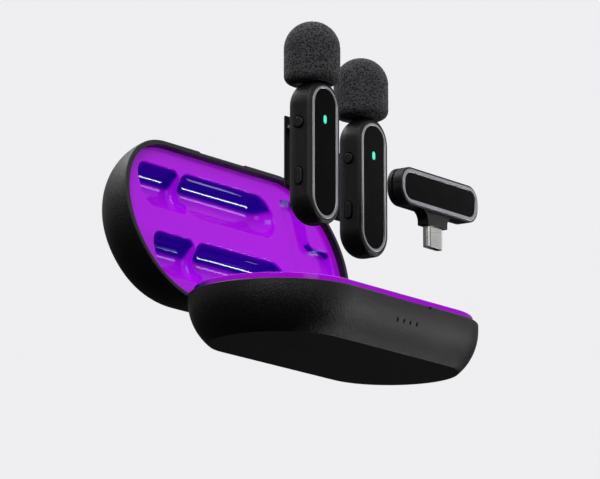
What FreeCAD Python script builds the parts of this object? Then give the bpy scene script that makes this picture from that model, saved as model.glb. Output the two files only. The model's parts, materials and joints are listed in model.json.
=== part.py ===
import FreeCAD, Part
import math
import os

# A charging case with two clip-on wireless transmitters and a plug-in receiver, in millimetres.
# X runs along the case, Y points from its front to its hinge, Z is up.
# The origin is the middle of the case's flat bottom. Each transmitter and the receiver stands
# on the same surface as the case, and is modelled about its own upright axis, front towards -Y.

# ---- fits shared by several pieces
seat_gap = 0.05           # between a fixed insert and its pocket
slide_gap = 0.10          # between a button and its hole
soft_gap = 0.30           # between the foam and what it is pushed over
pin_gap = 0.03            # between a hinge pin and its bore
edge_break = 0.30         # small bevel on moulded edges

# ---- transmitter body
body_width = 16.0
body_height = 43.7
body_depth = 9.8
body_wall = 1.2
body_front_round = 1.3
body_back_round = 5.0
cavity_back_round = 2.5
foot_flat_depth = 0.3     # how much of the rounded lower end is cut off to stand on
rim_lip = 1.5             # housing left round the trim ring
trim_band = 1.1
trim_depth = 1.5
trim_proud = 0.10
panel_recess = 0.15       # panel face behind the ring's face
panel_flange = 0.5        # thickness of the flange that sits behind the ring
light_width = 1.5
light_height = 2.6
light_above_middle = 10.0

# ---- transmitter buttons, on the -X side
power_radius = 1.6
power_height = 29.9
mute_width = 2.3
mute_length = 5.2
mute_height = 13.5
button_y = -0.85
button_proud = 0.45
button_travel = 0.4
button_dish = 0.45        # width and depth of the sunk ring round each button
button_flange = 0.4
button_flange_depth = 0.5

# ---- transmitter inside
board_side_gap = 0.2      # between a pressed button and the circuit board
board_end_gap = 1.6
board_thickness = 0.8
cell_width = 8.6
cell_height = 22.0
cell_thickness = 3.6
switch_size = 1.6
contact_radius = 1.0
contact_depth = 0.4
contact_spacing = 3.6
contact_height = 6.5

# ---- microphone head and foam windscreen
head_radius = 3.0
head_wall = 0.4
head_stand = 9.0          # how far the head stands above the body
head_flange = 0.5
head_flange_depth = 1.0
head_sink = 3.9           # from the top of the body down to the bottom of the flange
grille_hole_radius = 0.45
grille_ring_radius = 1.6
grille_ring_holes = 6
capsule_radius = 2.3
capsule_height = 2.4
foam_radius = 8.55
foam_height = 19.4
foam_bottom_round = 2.6
foam_stand_off = 0.25     # between the foam and the body that it sits on
foam_lap = 0.55           # the foam reaches this far down past the body's rounded top

# ---- spring clip on the back of a transmitter
clip_width = 7.0
clip_thickness = 0.9
clip_pin_height = 30.5
clip_top = 33.9
clip_bottom = 12.3
clip_jaw_height = 1.6
clip_jaw_gap = 0.3
clip_pin_radius = 0.4
clip_pin_stand = 1.45     # from the back of the body to the pin
lug_radius = 0.8
lug_width = 1.0
lug_gap = 2.2             # from the middle to a lug
knuckle_inner = 1.2
knuckle_play = 0.12
spring_turns = 4
spring_wire = 0.36
spring_leg = 3.6
spring_gap = 0.10

# ---- receiver
rx_width = 41.3
rx_height = 11.7
rx_depth = 6.0
rx_corner = 5.0
rx_wall = 1.2
rx_split = 3.35           # depth of the front housing
rx_groove_width = 0.65
rx_groove_depth = 0.9
rx_rim_lip = 0.45         # housing left round the receiver's trim ring
rx_trim_band = 1.3
rx_front_round = 0.35
rx_back_round = 1.2
rx_panel_flange = 0.8
rx_board_thickness = 0.8
rx_board_gap = 0.6
rx_chip_size = 5.0
rx_chip_height = 0.9
neck_height = 4.15
neck_top_width = 14.8
neck_bottom_width = 10.4
neck_depth = 3.9
neck_flare = 1.6
plug_width = 8.34
plug_thickness = 2.56
plug_length = 6.5
plug_wall = 0.3
plug_mouth_depth = 5.4
liner_wall = 0.5

# ---- case shells and trays
case_wall = 1.8
tray_wall = 1.2
deck_thickness = 1.4
lip_height = 2.3          # the lower tray stands this much above the rim
lid_recess = 2.4          # the upper tray lies this much inside the lid
tray_fit = 0.15
well_edge_round = 0.5     # rounding of the wells' edges in the deck's face
skirt_depth = 2.0
ledge_width = 1.2
ledge_height = 1.5
parting_gap = 0.15
base_inset = 7.0          # how far the wall curves in on its way to the flat bottom
base_curve = 15.0
lid_inset = 8.0
lid_curve = 16.4
lid_headroom = 5.85
under_well_gap = 1.0
well_clearance = 0.45
foam_spare = 4.9
foam_far_round = 6.2      # corner of the foam pocket at the case's end
foam_near_round = 2.6     # its corner at the wall that it shares with the body pocket
foam_to_wall = 0.2        # a lying windscreen ends this much before that wall
pocket_overlap = 1.7      # the body pocket's rounded end opens this far through that wall
finger_room = 12.1
row_pitch = 26.5
side_margin = 8.75
foam_end_margin = 13.4
plug_end_margin = 5.8
well_web = 6.1
rx_side_spare = 0.5
rx_end_spare = 2.05
rx_plug_spare = 1.45
rx_plug_side_spare = 0.35
rx_lid_room = 1.6         # extra depth of the receiver's pocket in the lid
rx_pocket_corner = 2.0
rx_inner_corner = 3.0     # where its plug pocket branches off
notch_length = 27.0
notch_height = 0.9
notch_depth = 0.9

# ---- case inside
case_cell_length = 40.0
case_cell_width = 30.0
case_cell_thickness = 4.0
case_cell_start = 14.0    # from the left end of the case
case_cell_to_board = 2.0
case_board_end = 18.0     # from the right end of the case
case_board_thickness = 1.0
case_board_gap = 0.5
boss_height = 1.2
boss_radius = 2.0
boss_inset = 7.5
screw_radius = 0.7
screw_head_radius = 1.3
screw_head_height = 0.8
screw_length = 3.2
saddle_length = 6.0
saddle_width = 9.0
saddle_drop = 0.6         # saddle top under the transmitter's back
charging_pin_radius = 0.55
charging_pin_rest = 0.1   # pin tip under the contact that it meets
magnet_length = 10.0
magnet_width = 2.6
magnet_height = 2.0
magnet_offset = 20.0
magnet_to_wall = 2.2
indicator_pitch = 3.85
indicator_count = 4
indicator_length = 1.5
indicator_width = 0.9
indicator_height = 9.6
indicator_board_thickness = 0.8
indicator_board_margin = 2.0
indicator_to_wall = 1.4   # from the indicator board to the shell's inner wall
port_width = 8.94
port_height = 3.26
port_wall = 0.3
port_depth = 7.3
port_mouth_depth = 6.0
port_tongue_width = 6.6
port_tongue_height = 0.7
port_inset = 0.4

# ---- hinge
hinge_offset = 1.0        # pin axis outside the back wall
hinge_radius = 2.1
hinge_pin_radius = 0.8
hinge_station = 30.0
lid_knuckle_length = 8.0
base_knuckle_length = 4.0
hinge_side_gap = 0.2
hinge_clearance = 0.3
lid_open_angle = 105.5

# ---- where the loose units stand: how far left of the case's end and in front of its side
transmitter_stand_offs = ((117.7, 90.4), (69.9, 74.6))
windscreen_lifts = (0, 0.8)   # how far each windscreen is from fully pushed on
receiver_stand_off = (68.0, 100.0)

# ---- sizes that follow from the above
well_radius = foam_radius + well_clearance
foam_pocket = foam_height + foam_spare
body_pocket = body_height + finger_room
rx_stem = neck_height + plug_length
rx_pocket_x = rx_height + 2 * rx_side_spare
rx_pocket_y = rx_width + 2 * rx_end_spare
rx_plug_pocket = rx_stem + rx_plug_spare - rx_side_spare
rx_plug_pocket_width = neck_bottom_width + 2 * rx_plug_side_spare
case_length = (foam_end_margin + foam_pocket - pocket_overlap + body_pocket + well_web
               + rx_pocket_x + rx_plug_pocket + plug_end_margin)
case_width = row_pitch + 2 * well_radius + 2 * side_margin
base_height = case_wall + case_cell_thickness + under_well_gap + tray_wall + well_radius
lid_height = case_wall + lid_headroom + tray_wall + well_radius
lid_bottom = base_height + parting_gap
case_round = case_width / 2
case_straight = case_length / 2 - case_round
hinge_y = case_width / 2 + hinge_offset
hinge_z = base_height + parting_gap / 2
row_places = (-row_pitch / 2, row_pitch / 2)
well_start = -case_length / 2 + foam_end_margin
foam_wall = well_start + foam_pocket
body_start = foam_wall - pocket_overlap
body_end = body_start + body_pocket
rx_pocket_start = body_end + well_web
rx_pocket_end = rx_pocket_start + rx_pocket_x
rx_half = rx_depth / 2 + rx_side_spare
board_top = case_wall + boss_height + case_board_thickness
case_board_start = -case_length / 2 + case_cell_start + case_cell_length + case_cell_to_board
front = -body_depth / 2
back = body_depth / 2
board_width = body_width - 2 * (body_wall + slide_gap / 2 + button_flange_depth
                                + button_travel + board_side_gap)
trim_width = body_width - 2 * rim_lip
trim_height = body_height + foot_flat_depth - 2 * rim_lip
pin_y = back + clip_pin_stand
clip_inner = pin_y + lug_radius + knuckle_play
rx_bottom = rx_stem
rx_front = -rx_depth / 2

transmitter_places = [(-case_length / 2 - left, -case_width / 2 - ahead)
                      for left, ahead in transmitter_stand_offs]
receiver_place = (-case_length / 2 - receiver_stand_off[0], -case_width / 2 - receiver_stand_off[1])
base_wall_radius = (base_curve ** 2 + base_inset ** 2) / (2 * base_inset)

ORIGIN = FreeCAD.Vector(0, 0, 0)


def base_wall_y(z, inward):
    """Half width of the base's curved wall at height z, measured this far inside its outer skin."""
    rise = base_curve - z
    return case_round - base_wall_radius + math.sqrt((base_wall_radius - inward) ** 2 - rise ** 2)


case_board_width = 2 * (base_wall_y(board_top, case_wall) - indicator_to_wall)


# ---- shape helpers
def vec(x, y, z):
    return FreeCAD.Vector(x, y, z)


def moved(shape, x=0.0, y=0.0, z=0.0):
    """A copy of the shape, shifted."""
    copy = shape.copy()
    copy.translate(vec(x, y, z))
    return copy


def turned(shape, axis, angle, centre=ORIGIN):
    """A copy of the shape, turned about an axis through centre."""
    copy = shape.copy()
    copy.rotate(centre, axis, angle)
    return copy


def facing_front(shape):
    """Lying outlines (long side X, thickness Z) stood up: long side Z, thickness Y."""
    return turned(shape, vec(1, 1, 1), -120)


def facing_side(shape):
    """Lying outlines stood up against the -X side: long side Z, thickness towards -X."""
    return turned(shape, vec(0, 1, 0), -90)


def box(x, y, z, corner):
    return Part.makeBox(x, y, z, corner)


def block(x_range, y_range, z_range):
    """A box between two values on each axis."""
    size = [high - low for low, high in (x_range, y_range, z_range)]
    return box(size[0], size[1], size[2], vec(x_range[0], y_range[0], z_range[0]))


def rod(radius, length, start, direction):
    return Part.makeCylinder(radius, length, start, direction)


def pill(length, width, height):
    """A lying pill outline, long side along X and centred, from z = 0 up."""
    r = width / 2
    s = length / 2 - r
    edges = [
        Part.LineSegment(vec(-s, -r, 0), vec(s, -r, 0)),
        Part.Arc(vec(s, -r, 0), vec(s + r, 0, 0), vec(s, r, 0)),
        Part.LineSegment(vec(s, r, 0), vec(-s, r, 0)),
        Part.Arc(vec(-s, r, 0), vec(-s - r, 0, 0), vec(-s, -r, 0)),
    ]
    wire = Part.Wire([edge.toShape() for edge in edges])
    return Part.Face(wire).extrude(vec(0, 0, height))


def rounded_plate(length, width, radius, height):
    """A lying rectangle with round corners, centred, from z = 0 up."""
    plate = box(length, width, height, vec(-length / 2, -width / 2, 0))
    corners = [e for e in plate.Edges if abs(e.BoundBox.ZLength - height) < 1e-6]
    return plate.makeFillet(radius, corners)


def edges_on(shape, axis, value):
    """The edges that lie wholly in the plane where the axis has this value."""
    found = []
    for edge in shape.Edges:
        low = getattr(edge.BoundBox, axis + "Min")
        high = getattr(edge.BoundBox, axis + "Max")
        if abs(low - value) < 1e-4 and abs(high - value) < 1e-4:
            found.append(edge)
    return found


def turned_solid(points_and_arcs, centre, axis):
    """A solid of revolution from a closed outline of lines and arcs."""
    wire = Part.Wire([piece.toShape() for piece in points_and_arcs])
    return Part.Face(wire).revolve(centre, axis, 360)


def joined(shapes):
    """Several shapes as one solid."""
    whole = shapes[0]
    for shape in shapes[1:]:
        whole = whole.fuse(shape)
    return whole.removeSplitter()


def without(shape, tools):
    for tool in tools:
        shape = shape.cut(tool)
    return shape


# ---- transmitter
def body_block(inset, y_from, y_to, back_round):
    """The upright pill of the body, drawn in by inset, with its back edge rounded."""
    height = body_height + foot_flat_depth - 2 * inset
    solid = facing_front(pill(height, body_width - 2 * inset, y_to - y_from))
    solid = moved(solid, 0, y_from, (body_height - foot_flat_depth) / 2)
    return solid.makeFillet(back_round, edges_on(solid, "Y", y_to))


def front_pill(width, height, y_from, y_to, middle=(body_height - foot_flat_depth) / 2):
    """An upright pill slab centred on the body."""
    return moved(facing_front(pill(height, width, y_to - y_from)), 0, y_from, middle)


def power_shape(radius, x_from, x_to):
    return rod(radius, x_to - x_from, vec(x_from, button_y, power_height), vec(1, 0, 0))


def mute_shape(grow, x_from, x_to):
    slab = facing_side(pill(mute_length + 2 * grow, mute_width + 2 * grow, x_to - x_from))
    return moved(slab, x_to, button_y, mute_height)


def make_housing():
    outer = body_block(0, front, back, body_back_round)
    outer = outer.makeFillet(body_front_round, edges_on(outer, "Y", front))
    seat = front + trim_depth - trim_proud
    cavity = body_block(body_wall, seat, back - body_wall, cavity_back_round)
    opening = front_pill(trim_width + 2 * seat_gap, trim_height + 2 * seat_gap, front - 1, seat)
    side = -body_width / 2
    inner_side = side + body_wall
    foot = block((-body_width, body_width), (-body_depth, body_depth), (-body_height, 0))
    tools = [cavity, opening, foot]
    tools.append(power_shape(power_radius + slide_gap, side - 1, inner_side + 1))
    tools.append(power_shape(power_radius + button_dish, side - 1, side + button_dish))
    tools.append(mute_shape(slide_gap, side - 1, inner_side + 1))
    tools.append(mute_shape(button_dish, side - 1, side + button_dish))
    top = body_height - body_wall
    tools.append(rod(head_radius + seat_gap, 3 * body_wall, vec(0, 0, top - body_wall), vec(0, 0, 1)))
    for x in (-contact_spacing / 2, contact_spacing / 2):
        tools.append(rod(contact_radius, contact_depth, vec(x, back, contact_height), vec(0, -1, 0)))
    solid = without(outer, tools)
    bore = clip_pin_radius + pin_gap
    for x in (-lug_gap - lug_width, lug_gap):
        lug = rod(lug_radius, lug_width, vec(x, pin_y, clip_pin_height), vec(1, 0, 0))
        root = block((x, x + lug_width), (back - body_wall / 2, pin_y),
                     (clip_pin_height - lug_radius, clip_pin_height + lug_radius))
        hole = rod(bore, lug_width, vec(x, pin_y, clip_pin_height), vec(1, 0, 0))
        solid = joined([solid, lug, root]).cut(hole)
    return solid


def make_trim_ring():
    y_from = front - trim_proud
    outer = front_pill(trim_width, trim_height, y_from, y_from + trim_depth)
    inner = front_pill(trim_width - 2 * trim_band, trim_height - 2 * trim_band,
                       y_from - 1, y_from + trim_depth + 1)
    ring = outer.cut(inner)
    return ring.makeChamfer(edge_break, edges_on(ring, "Y", y_from))


def light_slab(grow, y_from, y_to):
    middle = (body_height - foot_flat_depth) / 2 + light_above_middle
    return front_pill(light_width + 2 * grow, light_height + 2 * grow, y_from, y_to, middle)


def panel_back():
    return front + trim_depth - trim_proud + panel_flange


def make_front_panel():
    face_y = front - trim_proud + panel_recess
    ring_back = panel_back() - panel_flange
    inset = trim_band + seat_gap
    face = front_pill(trim_width - 2 * inset, trim_height - 2 * inset, face_y, ring_back)
    inner = body_wall + seat_gap
    flange = front_pill(body_width - 2 * inner, body_height + foot_flat_depth - 2 * inner,
                        ring_back, panel_back())
    foot = body_height - head_sink
    head_room = rod(head_radius + head_flange + seat_gap, head_sink, vec(0, 0, foot - seat_gap), vec(0, 0, 1))
    tools = [light_slab(seat_gap, face_y - 1, panel_back() + 1), head_room]
    return without(joined([face, flange]), tools)


def make_status_light():
    return light_slab(0, front - trim_proud + panel_recess, panel_back())


def make_power_button():
    inner_side = -body_width / 2 + body_wall
    start = -body_width / 2 - button_proud
    stem = power_shape(power_radius, start, inner_side + slide_gap / 2)
    stem = stem.makeFillet(edge_break, edges_on(stem, "X", start))
    flange_start = inner_side + slide_gap / 2
    flange = power_shape(power_radius + button_flange, flange_start, flange_start + button_flange_depth)
    return joined([stem, flange])


def make_mute_button():
    inner_side = -body_width / 2 + body_wall
    start = -body_width / 2 - button_proud
    stem = mute_shape(0, start, inner_side + slide_gap / 2)
    stem = stem.makeFillet(edge_break, edges_on(stem, "X", start))
    flange_start = inner_side + slide_gap / 2
    flange = mute_shape(button_flange, flange_start, flange_start + button_flange_depth)
    return joined([stem, flange])


def make_circuit_board():
    """Board behind the panel, with a switch under each button and the radio chip."""
    y = panel_back()
    length = body_height + foot_flat_depth - 2 * body_wall - 2 * board_end_gap - head_sink
    middle = (body_height - foot_flat_depth - head_sink) / 2
    board = front_pill(board_width, length, y, y + board_thickness, middle)
    pieces = [board]
    for z in (power_height, mute_height):
        pieces.append(block((-board_width / 2, -board_width / 2 + switch_size),
                            (y + board_thickness, y + board_thickness + switch_size),
                            (z - switch_size / 2, z + switch_size / 2)))
    return joined(pieces)


def make_cell():
    y = panel_back() + board_thickness
    z = (power_height + mute_height - cell_height) / 2
    left = -board_width / 2 + switch_size + slide_gap
    return block((left, left + cell_width - switch_size), (y, y + cell_thickness), (z, z + cell_height))


def make_contacts(radius, depth, spacing, y, z):
    pads = [rod(radius, depth, vec(x, y, z), vec(0, -1, 0)) for x in (-spacing / 2, spacing / 2)]
    return Part.Compound(pads)


def make_mic_head():
    """Thin metal tube with a pierced top, held by a flange inside the body."""
    foot = body_height - head_sink
    top = body_height + head_stand
    tube = rod(head_radius, top - foot, vec(0, 0, foot), vec(0, 0, 1))
    tube = tube.makeFillet(2 * head_wall, edges_on(tube, "Z", top))
    flange = rod(head_radius + head_flange, head_flange_depth, vec(0, 0, foot), vec(0, 0, 1))
    bore = rod(head_radius - head_wall, top - foot - 2 * head_wall, vec(0, 0, foot), vec(0, 0, 1))
    holes = [rod(grille_hole_radius, 4 * head_wall, vec(0, 0, top - 3 * head_wall), vec(0, 0, 1))]
    for index in range(grille_ring_holes):
        angle = 2 * math.pi * index / grille_ring_holes
        x = grille_ring_radius * math.cos(angle)
        y = grille_ring_radius * math.sin(angle)
        holes.append(moved(holes[0], x, y, 0))
    return without(joined([tube, flange]), [bore] + holes)


def make_mic_capsule():
    """Capsule glued under the pierced top, in a sleeve that fills the tube."""
    top = body_height + head_stand - 2 * head_wall - edge_break
    can = rod(capsule_radius, capsule_height, vec(0, 0, top - capsule_height), vec(0, 0, 1))
    sleeve_radius = head_radius - head_wall - seat_gap
    sleeve = rod(sleeve_radius, capsule_height / 2, vec(0, 0, top - capsule_height), vec(0, 0, 1))
    return joined([can, sleeve])


def make_windscreen():
    r = foam_radius
    b = foam_bottom_round
    z = body_height - foam_lap
    top = z + foam_height
    slope = b * (1 - math.sqrt(0.5))
    outline = [
        Part.LineSegment(vec(0, 0, z), vec(r - b, 0, z)),
        Part.Arc(vec(r - b, 0, z), vec(r - slope, 0, z + slope), vec(r, 0, z + b)),
        Part.LineSegment(vec(r, 0, z + b), vec(r, 0, top - r)),
        Part.Arc(vec(r, 0, top - r), vec(r * math.sqrt(0.5), 0, top - r + r * math.sqrt(0.5)),
                 vec(0, 0, top)),
        Part.LineSegment(vec(0, 0, top), vec(0, 0, z)),
    ]
    foam = turned_solid(outline, ORIGIN, vec(0, 0, 1))
    socket_height = head_stand + soft_gap + foam_lap
    socket = rod(head_radius + soft_gap, socket_height, vec(0, 0, z), vec(0, 0, 1))
    seat = front_pill(body_width + 2 * foam_stand_off, body_height + foot_flat_depth + 2 * foam_stand_off,
                      -body_depth, body_depth)
    return without(foam, [socket, seat])


def make_clip():
    """Flat spring-loaded arm: thumb end above the pin, jaw at its lower end."""
    half = clip_width / 2
    outer_y = clip_inner + clip_thickness
    arm = block((-half, half), (clip_inner, outer_y), (clip_bottom, clip_top))
    ends = edges_on(arm, "Y", outer_y)
    arm = arm.makeFillet(clip_thickness * 2 / 3, ends)
    jaw_y = back + clip_jaw_gap
    jaw = block((-half + edge_break, half - edge_break), (jaw_y, clip_inner + clip_thickness / 3),
                (clip_bottom + edge_break, clip_bottom + edge_break + clip_jaw_height))
    jaw = jaw.makeFillet(edge_break, edges_on(jaw, "Y", jaw_y))
    pieces = [arm, jaw]
    holes = []
    length = lug_gap - knuckle_play - knuckle_inner
    for x in (-lug_gap + knuckle_play, knuckle_inner):
        start = vec(x, pin_y, clip_pin_height)
        pieces.append(rod(lug_radius, length, start, vec(1, 0, 0)))
        pieces.append(block((x, x + length), (pin_y, clip_inner),
                            (clip_pin_height - lug_radius, clip_pin_height + lug_radius)))
        holes.append(rod(clip_pin_radius + pin_gap, length, start, vec(1, 0, 0)))
    return without(joined(pieces), holes)


def make_clip_pin():
    reach = lug_gap + lug_width
    return rod(clip_pin_radius, 2 * reach, vec(-reach, pin_y, clip_pin_height), vec(1, 0, 0))


def make_clip_spring():
    """Torsion spring on the pin: close turns side by side, and two straight legs."""
    core = clip_pin_radius + spring_gap
    middle = core + spring_wire / 2
    first = -(spring_turns - 1) / 2 * spring_wire
    pieces = []
    for turn in range(spring_turns):
        x = first + turn * spring_wire
        sleeve = rod(middle + spring_wire / 2, spring_wire, vec(x - spring_wire / 2, pin_y, clip_pin_height),
                     vec(1, 0, 0))
        pieces.append(sleeve.makeChamfer(spring_wire / 4, sleeve.Edges[0:1] + sleeve.Edges[2:3]))
    for y, x in ((pin_y + core, first - spring_wire / 2),
                 (pin_y - core - spring_wire, -first - spring_wire / 2)):
        pieces.append(block((x, x + spring_wire), (y, y + spring_wire),
                            (clip_pin_height - spring_leg, clip_pin_height)))
    bore = rod(core, (spring_turns + 2) * spring_wire,
               vec(first - spring_wire, pin_y, clip_pin_height), vec(1, 0, 0))
    return joined(pieces).cut(bore)


def transmitter_pieces():
    pads = make_contacts(contact_radius, contact_depth, contact_spacing, back, contact_height)
    return {
        "windscreen": make_windscreen(),
        "mic_head": make_mic_head(),
        "mic_capsule": make_mic_capsule(),
        "housing": make_housing(),
        "trim_ring": make_trim_ring(),
        "front_panel": make_front_panel(),
        "status_light": make_status_light(),
        "power_button": make_power_button(),
        "mute_button": make_mute_button(),
        "circuit_board": make_circuit_board(),
        "battery": make_cell(),
        "charge_contacts": pads,
        "clip": make_clip(),
        "clip_pin": make_clip_pin(),
        "clip_spring": make_clip_spring(),
    }


# ---- receiver
def rx_slab(inset, y_from, y_to):
    """The receiver's rounded outline, drawn in by inset, as an upright slab."""
    slab = rounded_plate(rx_width - 2 * inset, rx_height - 2 * inset, rx_corner - inset, y_to - y_from)
    slab = turned(slab, vec(1, 0, 0), 90)
    return moved(slab, 0, y_to, rx_bottom + rx_height / 2)


def plug_slab(grow, z_from, z_to):
    """The USB-C outline as a prism along Z."""
    outline = pill(plug_width + 2 * grow, plug_thickness + 2 * grow, z_to - z_from)
    return moved(outline, 0, 0, z_from)


def plug_passage():
    return plug_slab(seat_gap, rx_bottom - 1, rx_bottom + rx_wall + 1)


def make_rx_housing():
    seat = rx_front + trim_depth - trim_proud
    outer = rx_slab(0, rx_front, rx_front + rx_split)
    outer = outer.makeFillet(rx_front_round, edges_on(outer, "Y", rx_front))
    tools = [
        rx_slab(rx_rim_lip - seat_gap, rx_front - 1, seat),
        rx_slab(rx_wall, seat - 1, rx_front + rx_split + 1),
        plug_passage(),
    ]
    return without(outer, tools)


def make_rx_rear_cover():
    split = rx_front + rx_split
    plate_start = split + rx_groove_width
    plate = rx_slab(0, plate_start, -rx_front)
    plate = plate.makeFillet(rx_back_round, edges_on(plate, "Y", -rx_front))
    neck = rx_slab(rx_groove_depth, split, plate_start)
    cavity = rx_slab(rx_wall + rx_groove_depth / 2, split - 1, -rx_front - rx_wall)
    tools = [cavity, plug_passage()]
    for x in (-contact_spacing / 2, contact_spacing / 2):
        tools.append(rod(contact_radius, contact_depth, vec(x, -rx_front, rx_bottom + rx_height / 2),
                         vec(0, -1, 0)))
    return without(joined([plate, neck]), tools)


def make_rx_trim_ring():
    y_from = rx_front - trim_proud
    ring = rx_slab(rx_rim_lip, y_from, y_from + trim_depth)
    ring = ring.cut(rx_slab(rx_rim_lip + rx_trim_band, y_from - 1, y_from + trim_depth + 1))
    return ring.makeChamfer(edge_break, edges_on(ring, "Y", y_from))


def make_rx_front_panel():
    seat = rx_front + trim_depth - trim_proud
    face = rx_slab(rx_rim_lip + rx_trim_band + seat_gap, rx_front - trim_proud + panel_recess, seat)
    flange = rx_slab(rx_wall + seat_gap, seat, seat + rx_panel_flange)
    return joined([face, flange])


def make_rx_collar():
    """Flared neck between the receiver body and its plug, with hollow flanks."""
    z0 = plug_length
    z1 = rx_bottom
    top = neck_top_width / 2
    low = neck_bottom_width / 2
    pieces = [
        Part.LineSegment(vec(-low, 0, z0), vec(low, 0, z0)),
        Part.LineSegment(vec(low, 0, z0), vec(low, 0, z0 + neck_height / 4)),
        Part.Arc(vec(low, 0, z0 + neck_height / 4),
                 vec((top + low) / 2 - neck_flare / 4, 0, z0 + neck_height * 3 / 4), vec(top, 0, z1)),
        Part.LineSegment(vec(top, 0, z1), vec(-top, 0, z1)),
        Part.Arc(vec(-top, 0, z1), vec(-(top + low) / 2 + neck_flare / 4, 0, z0 + neck_height * 3 / 4),
                 vec(-low, 0, z0 + neck_height / 4)),
        Part.LineSegment(vec(-low, 0, z0 + neck_height / 4), vec(-low, 0, z0)),
    ]
    wire = Part.Wire([piece.toShape() for piece in pieces])
    solid = Part.Face(wire).extrude(vec(0, neck_depth, 0))
    solid = moved(solid, 0, -neck_depth / 2, 0)
    solid = solid.makeFillet(edge_break, edges_on(solid, "Z", z0))
    return solid.cut(plug_slab(seat_gap, z0 - 1, z1 + 1))


def make_plug_shell():
    shell = plug_slab(0, 0, rx_bottom + rx_wall)
    shell = shell.makeFillet(edge_break / 2, edges_on(shell, "Z", 0))
    return shell.cut(plug_slab(-plug_wall, -1, plug_mouth_depth))


def make_plug_liner():
    liner = plug_slab(-plug_wall, edge_break, plug_mouth_depth)
    return liner.cut(plug_slab(-plug_wall - liner_wall, -1, plug_mouth_depth - liner_wall))


def make_rx_board():
    y = rx_front + trim_depth - trim_proud + rx_panel_flange
    low = rx_bottom + rx_wall
    high = rx_bottom + rx_height - rx_wall - rx_board_gap
    half = rx_width / 2 - max(rx_corner, rx_wall + rx_board_gap)
    board = block((-half, half), (y, y + rx_board_thickness), (low, high))
    chip_z = (low + high - rx_chip_size) / 2
    chip = block((neck_bottom_width, neck_bottom_width + rx_chip_size),
                 (y + rx_board_thickness, y + rx_board_thickness + rx_chip_height),
                 (chip_z, chip_z + rx_chip_size))
    return joined([board, chip])


def receiver_pieces():
    pads = make_contacts(contact_radius, contact_depth, contact_spacing, -rx_front,
                         rx_bottom + rx_height / 2)
    return {
        "housing": make_rx_housing(),
        "rear_cover": make_rx_rear_cover(),
        "trim_ring": make_rx_trim_ring(),
        "front_panel": make_rx_front_panel(),
        "plug_collar": make_rx_collar(),
        "plug_shell": make_plug_shell(),
        "plug_liner": make_plug_liner(),
        "circuit_board": make_rx_board(),
        "charge_contacts": pads,
    }


# ---- case
def domed_half(height, inset, curve, inward, floor, bevel):
    """Pill-plan solid: upright wall above, curving in to a flat floor.

    The wall's arc is upright where it meets the straight part at height `curve`, and reaches
    the flat bottom `inset` further in. `inward` draws the whole wall in by that much."""
    radius = (curve ** 2 + inset ** 2) / (2 * inset)
    centre = case_round - radius
    arc_radius = radius - inward
    wall = case_round - inward
    angle = math.asin((curve - floor) / arc_radius)
    foot = centre + arc_radius * math.cos(angle)
    mid = vec(0, centre + arc_radius * math.cos(angle / 2), curve - arc_radius * math.sin(angle / 2))

    def outline(sign):
        pieces = [
            Part.LineSegment(vec(0, 0, floor), vec(0, sign * foot, floor)),
            Part.Arc(vec(0, sign * foot, floor), vec(0, sign * mid.y, mid.z), vec(0, sign * wall, curve)),
            Part.LineSegment(vec(0, sign * wall, curve), vec(0, sign * wall, height - bevel)),
            Part.LineSegment(vec(0, sign * (wall - bevel), height), vec(0, 0, height)),
            Part.LineSegment(vec(0, 0, height), vec(0, 0, floor)),
        ]
        if bevel > 0:
            pieces.insert(3, Part.LineSegment(vec(0, sign * wall, height - bevel),
                                              vec(0, sign * (wall - bevel), height)))
        return Part.Face(Part.Wire([piece.toShape() for piece in pieces]))

    pieces = []
    for sign in (1, -1):
        straight = outline(sign).extrude(vec(2 * case_straight, 0, 0))
        pieces.append(moved(straight, -case_straight))
    right = outline(1).revolve(ORIGIN, vec(0, 0, 1), -180)
    left = outline(1).revolve(ORIGIN, vec(0, 0, 1), 180)
    pieces.append(moved(right, case_straight))
    pieces.append(moved(left, -case_straight))
    return joined(pieces)


def pill_ring(outer_inset, inner_inset, z_from, z_to):
    ring = pill(case_length - 2 * outer_inset, case_width - 2 * outer_inset, z_to - z_from)
    hole = pill(case_length - 2 * inner_inset, case_width - 2 * inner_inset, z_to - z_from)
    return moved(ring.cut(hole), 0, 0, z_from)


def thumb_notch(z_from, z_to):
    """Shallow finger step in the front of the rim, the same in both shells."""
    y = -case_width / 2
    return block((-notch_length / 2, notch_length / 2), (y - 1, y + notch_depth), (z_from, z_to))


def hinge_rod(radius, x_from, x_to):
    return rod(radius, x_to - x_from, vec(x_from, hinge_y, hinge_z), vec(1, 0, 0))


def knuckle_spans(owner):
    """X ranges of the hinge knuckles on the base or on the lid."""
    spans = []
    inner = lid_knuckle_length / 2
    for middle in (-hinge_station, hinge_station):
        if owner == "lid":
            spans.append((middle - inner, middle + inner))
        else:
            start = inner + hinge_side_gap
            end = start + base_knuckle_length
            spans.append((middle - end, middle - start))
            spans.append((middle + start, middle + end))
    return spans


def with_hinge(shell, owner, web_from, web_to):
    """Adds the owner's knuckles to a shell and clears room for the other shell's."""
    other = "base" if owner == "lid" else "lid"
    for start, end in knuckle_spans(other):
        room = hinge_rod(hinge_radius + hinge_clearance, start - hinge_side_gap, end + hinge_side_gap)
        shell = shell.cut(room)
    for start, end in knuckle_spans(owner):
        web = block((start, end), (case_width / 2 - case_wall / 2, hinge_y), (web_from, web_to))
        shell = joined([shell, hinge_rod(hinge_radius, start, end), web])
        shell = shell.cut(hinge_rod(hinge_pin_radius + pin_gap, start - 1, end + 1))
    return shell


def board_corner_places():
    """Boss and screw places at the corners of the case's board."""
    left = case_board_start + boss_radius + case_board_gap
    right = case_length / 2 - case_board_end - boss_inset
    y = case_board_width / 2 - boss_inset
    return [(x, sign * y) for x in (left, right) for sign in (-1, 1)]


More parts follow.
